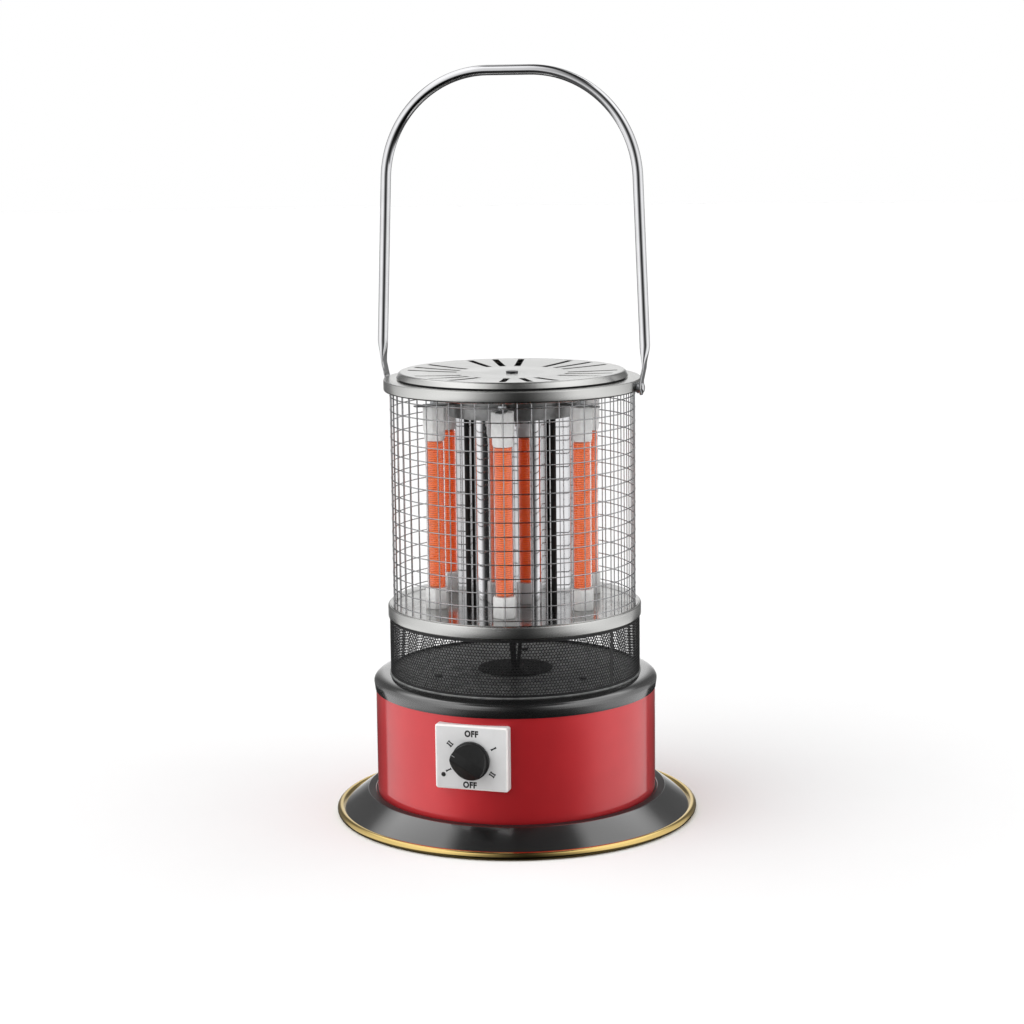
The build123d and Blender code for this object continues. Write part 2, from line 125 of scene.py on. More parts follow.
class HeaterColours(bpy.types.PropertyGroup):
    """Colours of the finishes."""

    red_lacquer: colour_property("Red lacquer", "Wall of the base", "DC2A32")
    black_enamel: colour_property("Black enamel", "Foot and shoulder", "161616")
    brass: colour_property("Brass", "Bead round the foot", "DFC27C")
    stainless: colour_property("Stainless steel", "Cap, rim and deck", "CFCFCD")
    chrome: colour_property("Chrome", "Handle, cage and mirror", "DADADC")
    zinc: colour_property("Zinc plating", "Screws, nuts and posts", "B9BBBD")
    ceramic: colour_property("Steatite", "End blocks of the tubes", "F8F8F7")
    winding: colour_property("Winding", "Resistance wire", "E08A30")
    glow: colour_property("Glow", "Light of the hot windings", "F04E24")
    plate: colour_property("Plate", "Moulded plate behind the knob", "D6D6D6")
    knob: colour_property("Knob", "Moulded knob", "171717")
    ink: colour_property("Ink", "Print on the dial", "1C1B1B")
    floor: colour_property("Floor", "Studio floor", "F4F4F4")


def size(name):
    """One of the sizes above, in millimetres."""
    return getattr(bpy.context.scene.heater_sizes, name) / MM


def count(name):
    return getattr(bpy.context.scene.heater_sizes, name)


def colour(name):
    return tuple(getattr(bpy.context.scene.heater_colours, name))


# ---------------------------------------------------------------- modelling


def lathe(outline, steps=ROUND_STEPS, closed=True):
    """An outline of (radius, height) corners, spun about the heater's axis."""
    bm = bmesh.new()
    corners = [bm.verts.new((radius, 0, height)) for radius, height in outline]
    pairs = zip(corners, corners[1:] + corners[:1]) if closed else zip(corners, corners[1:])
    edges = [bm.edges.new(pair) for pair in pairs]
    bmesh.ops.spin(
        bm, geom=corners + edges, cent=(0, 0, 0), axis=(0, 0, 1), angle=2 * pi, steps=steps, use_merge=True
    )
    bmesh.ops.remove_doubles(bm, verts=bm.verts, dist=SEAM)
    bmesh.ops.recalc_face_normals(bm, faces=bm.faces)
    return bm


def square_ring(inner, outer, bottom, top, steps=ROUND_STEPS):
    """A ring of square-cornered section about the heater's axis."""
    return lathe([(outer, bottom), (outer, top), (inner, top), (inner, bottom)], steps)


def quarter(centre, radii, start, end, steps):
    """Points of an outline that run round a bend. Angles are degrees from outwards, upwards."""
    points = []
    for i in range(steps + 1):
        angle = radians(start + (end - start) * i / steps)
        points.append((centre[0] + radii[0] * cos(angle), centre[1] + radii[1] * sin(angle)))
    return points


def round_wire(radius, height, half, sides):
    """The outline of a round wire bent into a ring."""
    return quarter((radius, height), (half, half), 0, 360 - 360 / sides, sides - 1)


def flat_at(edge, height):
    """Whether an edge lies level at a height."""
    return all(abs(v.co.z - height) < 0.01 for v in edge.verts)


def level(edge):
    return flat_at(edge, edge.verts[0].co.z)


def soften(bm, width, segments=3, sharper_than=30, where=None):
    """Rounds the edges that are sharper than an angle, all of them or those that where() picks."""
    bmesh.ops.recalc_face_normals(bm, faces=bm.faces)
    edges = [e for e in bm.edges if len(e.link_faces) == 2 and e.calc_face_angle(0) > radians(sharper_than)]
    if where:
        edges = [e for e in edges if where(e)]
    bmesh.ops.bevel(
        bm, geom=edges, offset=width, offset_type="OFFSET", segments=segments, profile=0.5, affect="EDGES",
        material=-1, clamp_overlap=True,
    )
    return bm


def everything(bm):
    return bm.verts[:] + bm.edges[:] + bm.faces[:]


def moved(bm, x=0.0, y=0.0, z=0.0):
    bmesh.ops.translate(bm, vec=(x, y, z), verts=bm.verts)
    return bm


def turned(bm, degrees, axis):
    bmesh.ops.rotate(bm, cent=(0, 0, 0), matrix=Matrix.Rotation(radians(degrees), 3, axis), verts=bm.verts)
    return bm


def ringed(bm, copies, turn=0.0):
    """Copies a piece round the heater's axis, the first one turned from the knob's side towards +X."""
    turned(bm, turn, "Z")
    bmesh.ops.spin(
        bm, geom=everything(bm), cent=(0, 0, 0), axis=(0, 0, 1), angle=2 * pi * (copies - 1) / copies,
        steps=copies - 1, use_duplicate=True,
    )
    return bm


def verts_in(geom):
    return [g for g in geom if isinstance(g, bmesh.types.BMVert)]


def copied(bm, step):
    """Adds a copy of everything, moved by a step."""
    copy = bmesh.ops.duplicate(bm, geom=everything(bm))["geom"]
    bmesh.ops.translate(bm, vec=step, verts=verts_in(copy))
    return bm


def doubled(bm, step, times):
    """Doubles everything along a step, over and over, to 2 to the power of times copies."""
    for i in range(times):
        copied(bm, Vector(step) * 2**i)


def prism(sides, radius, bottom, top):
    """An upright closed prism on the heater's axis, with a corner on the Y axis."""
    bm = bmesh.new()
    bmesh.ops.create_cone(bm, cap_ends=True, segments=sides, radius1=radius, radius2=radius, depth=top - bottom)
    return moved(bm, z=(top + bottom) / 2)


def block(length, width, height):
    bm = bmesh.new()
    bmesh.ops.create_cube(bm, size=1)
    bmesh.ops.scale(bm, vec=(length, width, height), verts=bm.verts)
    return bm


def cleared(bm, where):
    """Takes out the faces that where() picks, with whatever only they used."""
    bmesh.ops.delete(bm, geom=[f for f in bm.faces if where(f)], context="FACES")


def merged(bms):
    """Several meshes as one."""
    whole = bmesh.new()
    for bm in bms:
        mesh = bpy.data.meshes.new("part")
        bm.to_mesh(mesh)
        bm.free()
        whole.from_mesh(mesh)
        bpy.data.meshes.remove(mesh)
    return whole


def to_front(bm):
    """Turns what was built up along +Z, about the knob's axis, so that it points out of the dial, along -Y."""
    turned(bm, 90, "X")
    return moved(bm, z=middle("control_knob").z)


def placed(name, data):
    """A new object in the scene."""
    thing = bpy.data.objects.new(name, data)
    bpy.context.scene.collection.objects.link(thing)
    return thing


def smooth_object(name, bm, material):
    mesh = bpy.data.meshes.new(name)
    bm.to_mesh(mesh)
    bm.free()
    mesh.shade_smooth()
    mesh.materials.append(material)
    return placed(name, mesh)


def finished(name, bm, coat, *nodes, slot=None, body="heater", sharp=35, outward=True):
    """Makes the mesh an object in metres that rides on a body and stands for CAD nodes.

    Its slot argument is not used.
    """
    if not bm.faces:
        raise RuntimeError(f"{name} has no faces")
    bmesh.ops.remove_doubles(bm, verts=bm.verts, dist=SEAM)
    if outward:
        bmesh.ops.recalc_face_normals(bm, faces=bm.faces)
    bmesh.ops.scale(bm, vec=(MM, MM, MM), verts=bm.verts)
    piece = smooth_object(name, bm, finish(coat))
    piece.data.set_sharp_from_angle(angle=radians(sharp))
    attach(piece, body)
    if nodes:
        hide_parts(*nodes)
    return piece


def recoated(piece, coat, where):
    """Gives a second finish to the faces whose normals where() picks."""
    piece.data.materials.append(finish(coat))
    for face in piece.data.polygons:
        if where(face.normal):
            face.material_index = 1


def coated(coat, *nodes):
    """Gives CAD nodes that keep their own shape a finish."""
    for node in nodes:
        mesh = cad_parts[node].data
        mesh.materials.clear()
        mesh.materials.append(finish(coat))


# ---------------------------------------------------------------- materials


def add_node(tree, kind, settings=None, **sockets):
    """Adds a node. A socket takes a number, a colour, or (node, output) for a link.

    An operation may follow the kind, after a colon. Sockets are named with their spaces as underscores,
    or in1, in2 and so on by number.
    """
    kind, _, operation = kind.partition(":")
    node = tree.nodes.new("ShaderNode" + kind)
    if operation:
        node.operation = operation
    for key, value in (settings or {}).items():
        setattr(node, key, value)
    for key, value in sockets.items():
        numbered = key[:2] == "in" and key[2:].isdigit()
        socket = node.inputs[int(key[2:]) if numbered else key.replace("_", " ")]
        if isinstance(value, tuple) and isinstance(value[0], bpy.types.Node):
            tree.links.new(value[0].outputs[value[1]], socket)
        else:
            socket.default_value = value
    return node


def new_material(name):
    """An empty material, its nodes, and the place on the object as a link."""
    material = bpy.data.materials.new(name)
    material.use_nodes = True
    tree = material.node_tree
    tree.nodes.clear()
    place = add_node(tree, "TexCoord")
    return material, tree, (place, "Object")


def per_mm(millimetres):
    """The scale of a pattern whose grains are that far apart."""
    return 1 / (millimetres * MM)


def surface(name, base, shade, rough, blotch, grain, bump, metallic=0.0, ior=1.5, coat=0.0, shift=None):
    """A finish with cloudy colour, uneven gloss and a fine relief.

    base and shade are the tones that it wanders between, rough is its least and greatest roughness,
    blotch and grain are sizes in millimetres, and bump is the relief's height in millimetres.
    """
    base = tone(base)
    shade = tone(shade, base)
    material, tree, place = new_material(name)
    if shift:
        place = (shift(tree, place), 0)
    clouds = add_node(tree, "TexNoise", Vector=place, Scale=per_mm(blotch), Detail=3.0, Roughness=0.55)
    grains = add_node(tree, "TexNoise", Vector=place, Scale=per_mm(grain), Detail=2.0, Roughness=0.6)
    spread = add_node(tree, "MapRange", Value=(clouds, 0), From_Min=0.35, From_Max=0.65)
    tint = add_node(tree, "Mix", {"data_type": "RGBA"}, in0=(spread, 0), in6=base, in7=shade)
    both = add_node(tree, "Math:MULTIPLY_ADD", in0=(grains, 0), in1=0.5, in2=(clouds, 0))
    gloss = add_node(
        tree, "MapRange", Value=(both, 0), From_Min=0.45, From_Max=1.05, To_Min=rough[0], To_Max=rough[1]
    )
    relief = add_node(tree, "Bump", Strength=1.0, Distance=bump * MM, Height=(grains, 0))
    shader = add_node(
        tree, "BsdfPrincipled", Base_Color=(tint, 2), Roughness=(gloss, 0), Metallic=metallic, IOR=ior,
        Coat_Weight=coat, Coat_Roughness=0.08, Coat_IOR=1.6, Normal=(relief, 0),
    )
    add_node(tree, "OutputMaterial", Surface=(shader, 0))
    return material


def round_the_axis(tree, place):
    """Turns a place into (distance from the axis, height, a little of the turn), for brushing round the axis."""
    split = add_node(tree, "SeparateXYZ", Vector=place)
    flat = add_node(tree, "CombineXYZ", X=(split, 0), Y=(split, 1))
    radius = add_node(tree, "VectorMath:LENGTH", in0=(flat, 0))
    turn = add_node(tree, "Math:ARCTAN2", in0=(split, 1), in1=(split, 0))
    along = add_node(tree, "Math:MULTIPLY", in0=(turn, 0), in1=0.004)
    return add_node(tree, "CombineXYZ", X=(radius, 1), Y=(split, 2), Z=(along, 0))


def darker(base, share):
    return tuple(c * share for c in base[:3]) + (1.0,)


def tone(value, base=None):
    """A colour by its name in the panel, its hex code, or its share of a base colour."""
    if isinstance(value, tuple):
        return value
    if isinstance(value, float):
        return darker(base, value)
    return colour(value) if hasattr(bpy.context.scene.heater_colours, value) else linear(value)


def make_finishes():
    """Every finish, by its material slot in the record or by its own name."""
    return {
        # Stoved black enamel on pressed steel: deep, glassy, with a slow orange peel
        "black_enamel": surface(
            "stoved_enamel", "black_enamel", 0.7, (0.16, 0.24), 60, 3.5, 0.006,
            ior=1.8, coat=1.0,
        ),
        # The same enamel, thin and satin on the ledge, where it isn't polished
        "satin_enamel": surface("satin_enamel", "1C1C1C", "151515", (0.5, 0.6), 40, 2.0, 0.01),
        # Candy red: red lacquer over a metallic ground, under clear coat, so it darkens where it faces the dark
        "red_lacquer": surface(
            "candy_lacquer", "red_lacquer", 0.88, (0.42, 0.5), 80, 3.0, 0.004,
            metallic=0.6, coat=0.85,
        ),
        # Rolled brass strip, polished, with faint drawing lines along it
        "brass_trim": surface(
            "polished_brass", "brass", 0.82, (0.1, 0.2), 25, 0.8, 0.004,
            metallic=1.0, shift=round_the_axis,
        ),
        # Stainless steel, brushed as it turned: hair lines run round the axis, drawn coarser than real so they show
        "brushed_steel": surface(
            "brushed_stainless", "stainless", 0.88, (0.2, 0.29), 45, 0.7, 0.006,
            metallic=1.0, shift=round_the_axis,
        ),
        # The deck's sheet, rolled bright, which mirrors the tubes' feet
        "deck_steel": surface(
            "bright_rolled_steel", darker(colour("stainless"), 0.8), 0.75, (0.1, 0.18), 14, 1.2, 0.01, metallic=1.0,
        ),
        # Mirror sheet: bright-rolled aluminium with a faint waviness
        "mirror_steel": surface("mirror_sheet", "chrome", 0.92, (0.03, 0.08), 30, 24, 0.03, metallic=1.0),
        # Plain rolled steel, darker grey than the stainless and soft in its gloss
        "dark_steel": surface("heat_darkened_steel", "A0A0A0", "828282", (0.35, 0.5), 12, 1.5, 0.02, metallic=1.0),
        # Bright zinc plating with its fine spangle
        "zinc_steel": surface("zinc_plating", "zinc", 0.8, (0.22, 0.4), 4, 0.6, 0.01, metallic=1.0),
        # Blackened steel screws: dark, with a low sheen
        "dark_screw": surface("blackened_steel", "565658", "3C3C3E", (0.3, 0.45), 3, 0.5, 0.01, metallic=1.0),
        # Black powder coat on punched sheet: fine grained and half matt
        "perforated_steel": surface("powder_coat", "1E1E1F", "151516", (0.38, 0.5), 30, 0.9, 0.01),
        # Galvanised sheet, dull and greyed: pale enough to show through the skirt's holes
        "floor_sheet": surface("galvanised_sheet", "B4B5B4", "8E908F", (0.35, 0.5), 7, 0.9, 0.015, metallic=0.5),
        # Matt black sheet: almost no gloss
        "black_disc": surface("matt_black_sheet", "141414", "1A1A1A", (0.6, 0.75), 9, 0.7, 0.02),
        # Varnished glass-fibre sleeve: a fine braid
        "black_sleeve": surface("fibre_sleeve", "121212", "1D1D1D", (0.5, 0.65), 2, 0.8, 0.08),
        # Moulded pale ABS with a fine spark texture
        "pale_plastic": surface("moulded_abs", "plate", 0.95, (0.4, 0.5), 18, 0.7, 0.012, ior=1.46),
        # The plate's border: a paler, glossier copy of the moulded ABS, a painted highlight on the bevel
        "plate_edge_highlight": surface("polished_abs", "F6F1EF", "EAE6E4", (0.2, 0.3), 12, 0.9, 0.004, ior=1.46),
        # Black phenolic, moulded glossy and worn satin
        "black_plastic": surface("phenolic_knob", "knob", 0.7, (0.46, 0.58), 7, 0.8, 0.01, ior=1.45),
        # Dark thermoset of the switches: dense and dull
        "switch_plastic": surface("switch_thermoset", "2B2A29", "201F1F", (0.45, 0.6), 6, 0.8, 0.02),
        # Unglazed steatite: white, dense, faintly speckled
        "ceramic": surface("steatite", "ceramic", 0.9, (0.35, 0.5), 5, 0.8, 0.02, ior=1.55),
        # Bright drawn wire: shiny, a little streaked
        "cage_wire": surface(
            "bright_wire", darker(colour("chrome"), 0.72), darker(colour("chrome"), 0.55), (0.18, 0.3), 9, 1.2, 0.006,
            metallic=1.0,
        ),
        # Chromed tube: hard bright plating with faint polishing swirls
        "chrome": surface("chrome_plating", "chrome", 0.9, (0.05, 0.11), 40, 6, 0.004, metallic=1.0),
        # Moulded rubber: black and quite matt
        "rubber": surface("moulded_rubber", "1B1B1B", "242424", (0.65, 0.8), 6, 0.6, 0.03),
        # Dial print: flat ink. The knob's grey line of paint is a pointer mark and also a painted glint on the bar's
        # end
        "ink": surface("dial_ink", "ink", 0.8, (0.45, 0.6), 2, 0.4, 0.004),
        "pointer": surface("pointer_paint", "8F8F8F", "7C7C7C", (0.4, 0.55), 2, 0.4, 0.004),
        "quartz_glass": quartz_material(),
        "hot_wire": glow_material("hot_winding", colour("winding"), 0.5),
        # Darker and dimmer glow on a rod inside each coil: painted shade in the gaps between the turns
        "winding_core": glow_material("winding_shade", darker(colour("winding"), 0.45), 0.25),
    }


def quartz_material():
    """Clear fused quartz: colourless, with faint drawing lines along the tube."""
    material, tree, place = new_material("fused_quartz")
    lines = add_node(tree, "Mapping", Vector=place, Scale=(1, 1, 0.03))
    noise = add_node(tree, "TexNoise", Vector=(lines, 0), Scale=per_mm(2.5), Detail=2.0)
    gloss = add_node(tree, "MapRange", Value=(noise, 0), To_Min=0.0, To_Max=0.06)
    relief = add_node(tree, "Bump", Strength=1.0, Distance=0.01 * MM, Height=(noise, 0))
    shader = add_node(
        tree, "BsdfPrincipled", Base_Color=linear("FCFCFC"), Roughness=(gloss, 0), IOR=1.46,
        Transmission_Weight=1.0, Normal=(relief, 0),
    )
    add_node(tree, "OutputMaterial", Surface=(shader, 0))
    return material


def glow_material(name, base, strength):
    """Resistance wire at working heat: oxidised metal that glows unevenly from turn to turn. Made darker and dimmer,
    it is painted shade between the turns.
    """
    material, tree, place = new_material(name)
    turns = add_node(tree, "Mapping", Vector=place, Scale=(0.4, 0.4, 1))
    noise = add_node(tree, "TexNoise", Vector=(turns, 0), Scale=per_mm(2.2), Detail=3.0)
    heat = add_node(tree, "MapRange", Value=(noise, 0), From_Min=0.3, From_Max=0.7)
    tint = add_node(
        tree, "Mix", {"data_type": "RGBA"}, in0=(heat, 0), in6=darker(colour("glow"), 0.75), in7=colour("glow")
    )
    shader = add_node(
        tree, "BsdfPrincipled", Base_Color=base, Roughness=0.45, Emission_Color=(tint, 2),
        Emission_Strength=strength,
    )
    add_node(tree, "OutputMaterial", Surface=(shader, 0))
    return material


finishes = {}


def finish(name):
    if not finishes:
        finishes.update(make_finishes())
    return finishes[name]


# ---------------------------------------------------------------- pieces


class FootOperator(bpy.types.Operator):
    """Black foot with its bead, rubber feet and bottom plate"""

    bl_idname = "heater.foot"
    bl_label = "Foot"

    ledge_width = 9.3
    groove_width = 1.3
    groove_depth = 1.2
    ledge_bend = 0.9
    tuck = 9.0
    sheet = 1.0
    hem = 1.5
    bead = 3.7
    bead_proud, bead_drop = 0.6, 0.3

    def execute(self, context):
        foot = high("base_flange")
        band = high("housing_band").x
        bottom = low("base_flange").z
        ledge, inner = band + self.ledge_width, band - self.tuck
        groove = foot.z - self.groove_depth
        flange = lathe([
            (foot.x, bottom), (foot.x, bottom + self.sheet), (ledge, foot.z),
            (band + self.groove_width, foot.z), (band + self.groove_width, groove), (inner, groove),
            (inner, groove - self.sheet), (ledge - self.sheet, groove - self.sheet), (foot.x - self.hem, bottom),
        ])
        soften(flange, self.ledge_bend, where=lambda edge: flat_at(edge, foot.z))
        flange = finished("foot_flange", flange, "black_enamel", "base_flange")
        recoated(flange, "satin_enamel", lambda normal: normal.z > FLAT)

        radius = high("trim_ring").x + self.bead_proud - self.bead
        trim = lathe(round_wire(radius, middle("trim_ring").z - self.bead_drop, self.bead, 28))
        finished("foot_bead", trim, "brass_trim", "trim_ring")

        coated("rubber", "rubber_feet")
        coated("zinc_steel", "bottom_plate", "base_screws")
        return {"FINISHED"}


class WallOperator(bpy.types.Operator):
    """Red wall and the black shoulder on it"""

    bl_idname = "heater.wall"
    bl_label = "Wall and shoulder"

    sheet = 1.0
    # The shoulder's corners: out past the wall's face, then in from it
    overhang, land, inner_top, inner_foot = 0.7, 13.0, 22.0, 3.5

    def execute(self, context):
        band = high("housing_band")
        bottom = low("housing_band").z - FootOperator.groove_depth
        wall = square_ring(band.x - self.sheet, band.x, bottom, band.z)
        finished("red_wall", wall, "red_lacquer", "housing_band")

        top = high("shoulder_ring")
        hip = (top.z + band.z) / 2
        land = band.x - self.land
        outline = [(band.x + self.overhang, band.z)]
        outline += quarter((land, hip), (top.x - land, top.z - hip), 0, 90, 12)
        outline += [(band.x - self.inner_top, top.z), (band.x - self.inner_foot, band.z)]
        shoulder = lathe(outline)
        finished("shoulder", shoulder, "black_enamel", "shoulder_ring", sharp=50)
        return {"FINISHED"}


class DialOperator(bpy.types.Operator):
    """Control plate, its print and the knob"""

    bl_idname = "heater.dial"
    bl_label = "Dial and knob"

    corner = 2.2
    border = 1.4
    edge = 0.35
    plate_depth = 10.0
    # Print: how proud it is, a stroke and its serif, the step between two strokes, and the lamp
    print_height = 0.05
    stroke, serif, stroke_step = (5.2, 1.2, 0.12), (0.9, 1.9, 0.12), 2.3
    lamp_radius, lamp_height = 2.1, 0.5
    # Letters: type size for their height, boldness, depth, spacing and narrowing
    type_size, boldness, depth, spacing, narrowing = 1.36, 0.4, 0.06, 1.12, 0.88
    word_places = ((0.4, 24.1), (-1.6, -23.0))
    # Middle of each mark from the knob's axis, the mark's turn, and its strokes
    marks = (((21.0, 12.1), 29, 1), ((19.6, -11.7), -31, 2), ((-19.8, 14.1), 142, 2), ((-21.4, -10.1), 207, 1))
    lamp_place = (-26.3, -14.5)
    knob_turn = 150
    skirt_side, skirt_height, skirt_slope = 3.4, 4.5, 1.3
    bar_half = 4.75
    pointer, pointer_inset = (3.4, 0.7, 0.3), 3.6

    def execute(self, context):
        front = -low("control_plate").y
        self.make_plate(front)
        self.make_print(front)
        self.make_knob()
        coated("zinc_steel", "switch_nut", "switch_shaft")
        return {"FINISHED"}

    def make_plate(self, front):
        side, bottom, top = span("control_plate")
        wall = high("housing_band").x
        bm = block(2 * side, top - bottom, self.plate_depth)
        across = [e for e in bm.edges if abs(e.verts[0].co.x - e.verts[1].co.x) > 1]
        bmesh.ops.subdivide_edges(bm, edges=across, cuts=15, use_grid_fill=True)
        moved(bm, y=middle("control_plate").z - middle("control_knob").z, z=front - self.plate_depth / 2)
        for v in bm.verts:
            if v.co.z < front - self.plate_depth / 2:
                v.co.z = sqrt((wall + 0.1) ** 2 - v.co.x**2)
        soften(bm, self.corner, 4, where=lambda e: abs(e.verts[0].co.z - e.verts[1].co.z) > 2)
        soften(bm, self.border, 1, where=lambda e: flat_at(e, front))
        soften(bm, self.edge, 2, where=lambda e: flat_at(e, front))
        plate = finished("dial_plate", to_front(bm), "pale_plastic", "control_plate")
        # Painted highlight: the bevel's faces take the paler copy of the plate's finish
        recoated(plate, "plate_edge_highlight", lambda normal: -FLAT < normal.y < -0.3)

    def make_print(self, front):
        """The switch's marks, a hair proud of the plate: OFF, I and II, twice each, and the lamp's dot."""
        height = front + self.print_height
        printed = [moved(self.word("OFF"), x, y, height) for x, y in self.word_places]
        for (x, y), turn, strokes in self.marks:
            for i in range(strokes):
                bars = [block(*self.stroke)]
                bars += [moved(block(*self.serif), x=side * self.stroke_step) for side in (1, -1)]
                stroke = moved(merged(bars), y=self.stroke_step * (i - (strokes - 1) / 2))
                printed.append(moved(turned(stroke, turn, "Z"), x, y, height))
        finished("dial_print", to_front(merged(printed)), "ink", slot="black_plastic", sharp=30)
        lamp = prism(24, self.lamp_radius, front - self.lamp_height, front + self.lamp_height)
        soften(lamp, self.edge, 2, where=lambda e: flat_at(e, front + self.lamp_height))
        moved(lamp, *self.lamp_place)
        finished("dial_lamp", to_front(lamp), "ink", slot="black_plastic")

    def word(self, letters):
        text = bpy.data.curves.new("word", "FONT")
        text.body = letters
        text.align_x = "CENTER"
        text.align_y = "CENTER"
        text.size = size("letter_height") * self.type_size
        text.offset = self.boldness
        text.extrude = self.depth
        text.space_character = self.spacing
        carrier = placed("word", text)
        mesh = bpy.data.meshes.new_from_object(carrier)
        bm = bmesh.new()
        bm.from_mesh(mesh)
        bpy.data.objects.remove(carrier)
        bpy.data.meshes.remove(mesh)
        bmesh.ops.scale(bm, vec=(self.narrowing, 1, 1), verts=bm.verts)
        return bm

    def make_knob(self):
        back = -high("control_knob").y
        face = -low("control_knob").y
        radius = (high("control_knob").z - low("control_knob").z) / 2
        step, waist = back + self.skirt_height, radius - self.skirt_slope
        skirt = lathe([(0, back), (radius, back), (radius, back + self.skirt_side), (waist, step), (0, step)], 96)
        soften(skirt, 0.5, 2, 20)
        grip = prism(96, waist, step - 1, face)
        for side in (1, -1):
            slope = Vector((0, side * (face - step), radius - self.bar_half)).normalized()
            corner = (0, side * self.bar_half, face)
            bmesh.ops.bisect_plane(
                grip, geom=everything(grip), dist=SEAM, plane_co=corner, plane_no=slope, clear_outer=True
            )
            bmesh.ops.holes_fill(grip, edges=[e for e in grip.edges if e.is_boundary], sides=0)
        soften(grip, 0.9, 3, 12, where=lambda e: max(v.co.z for v in e.verts) > step + 1)
        body = turned(merged([skirt, grip]), self.knob_turn, "Z")
        finished("knob", to_front(body), "black_plastic", "control_knob", body="knob")
        # A grey line at the bar's end: a pointer mark, and a painted glint where the bar's end catches light
        pointer = moved(block(*self.pointer), x=radius - self.pointer_inset, z=face - 0.02)
        soften(pointer, 0.1, 2)
        pointer = turned(pointer, self.knob_turn, "Z")
        finished("knob_pointer", to_front(pointer), "pointer", slot="black_plastic", body="knob")


def perforated_cells(pitch, hole):
    """One six-sided cell of punched sheet and its neighbour in the next row."""
    bm = bmesh.new()
    bmesh.ops.create_circle(bm, cap_ends=True, segments=6, radius=pitch / sqrt(3))
    cell = bm.faces[:]
    bmesh.ops.inset_individual(bm, faces=cell, thickness=(pitch - hole) / 2, use_even_offset=True)
    bmesh.ops.delete(bm, geom=cell, context="FACES_ONLY")
    return copied(bm, (pitch / 2, pitch * sqrt(3) / 2, 0))


def thickened(bm, sheet):
    """Gives a skin a thickness, closed round every hole."""
    bmesh.ops.remove_doubles(bm, verts=bm.verts, dist=SEAM)
    bmesh.ops.recalc_face_normals(bm, faces=bm.faces)
    bmesh.ops.solidify(bm, geom=bm.faces[:], thickness=sheet)
    return bm


class PunchedOperator(bpy.types.Operator):
    """Punched skirt and floor between the base and the tubes, and what shows through them"""

    bl_idname = "heater.punched"
    bl_label = "Punched sheets"

    sheet = 0.4
    plain_edge = 2.2
    floor_edge = 2.6
    seam_width, seam_turn = 4.0, 65.9
    # The floor's sheet, its plain edge's, and how far its holes run under that edge and the disc
    floor_sheet, edge_sheet, overlap = 0.5, 0.7, 2.0

    def execute(self, context):
        self.make_skirt()
        self.make_floor()
        coated("black_disc", "floor_disc")
        coated("black_sleeve", "wiring_leads")
        coated("dark_screw", "floor_screws")
        return {"FINISHED"}

    def make_skirt(self):
        outside, bottom, top = span("perforated_skirt")
        cells = round(2 * pi * outside / size("hole_pitch"))
        pitch = 2 * pi * outside / cells
        strip = perforated_cells(pitch, size("skirt_hole"))
        doubled(strip, (0, pitch * sqrt(3), 0), 4)
        cleared(strip, lambda f: f.calc_center_median().y > top - bottom)
        for v in strip.verts:
            turn = v.co.x / outside
            v.co = Vector((outside * sin(turn), -outside * cos(turn), bottom + v.co.y))
        holes = thickened(ringed(strip, cells), -self.sheet)
        plain = [
            square_ring(outside - self.sheet - 0.05, outside + 0.05, z, z + self.plain_edge)
            for z in (bottom, top - self.plain_edge)
        ]
        seam = moved(block(self.seam_width, 0.25, top - bottom), 0, -outside - 0.03, (top + bottom) / 2)
        turned(seam, self.seam_turn, "Z")
        skirt = merged([holes, *plain, seam])
        finished("punched_skirt", skirt, "perforated_steel", "perforated_skirt", outward=False)

    def make_floor(self):
        outside, top = high("perforated_floor").x, high("perforated_floor").z
        disc = high("floor_disc").x
        pitch = size("hole_pitch")
        field = perforated_cells(pitch, size("floor_hole"))
        doubled(field, (pitch, 0, 0), 7)
        doubled(field, (0, pitch * sqrt(3), 0), 6)
        # 128 by 64 pairs of cells, half of them on each side of the axis
        moved(field, -64 * pitch, -32 * pitch * sqrt(3))
        inner, outer = disc - self.overlap, outside - self.overlap
        cleared(field, lambda f: not inner < f.calc_center_median().length < outer)
        moved(field, z=top)
        holes = thickened(field, self.floor_sheet)
        edge = square_ring(outside - self.floor_edge, outside, top - self.edge_sheet, top)
        floor = merged([holes, edge])
        finished("punched_floor", floor, "floor_sheet", "perforated_floor", slot="perforated_steel", outward=False)


class DeckOperator(bpy.types.Operator):
    """Steel ring and deck under the tubes"""

    bl_idname = "heater.deck"
    bl_label = "Ring and deck"

    ring_width = 4.6
    lip = 1.9

    def execute(self, context):
        outside, bottom, top = span("mid_ring")
        ring = square_ring(outside - self.ring_width, outside, bottom, top)
        soften(ring, self.lip, 5, where=lambda e: all(v.co.xy.length > outside - 0.1 for v in e.verts))
        finished("deck_ring", ring, "brushed_steel", "mid_ring")
        coated("deck_steel", "element_deck")
        return {"FINISHED"}


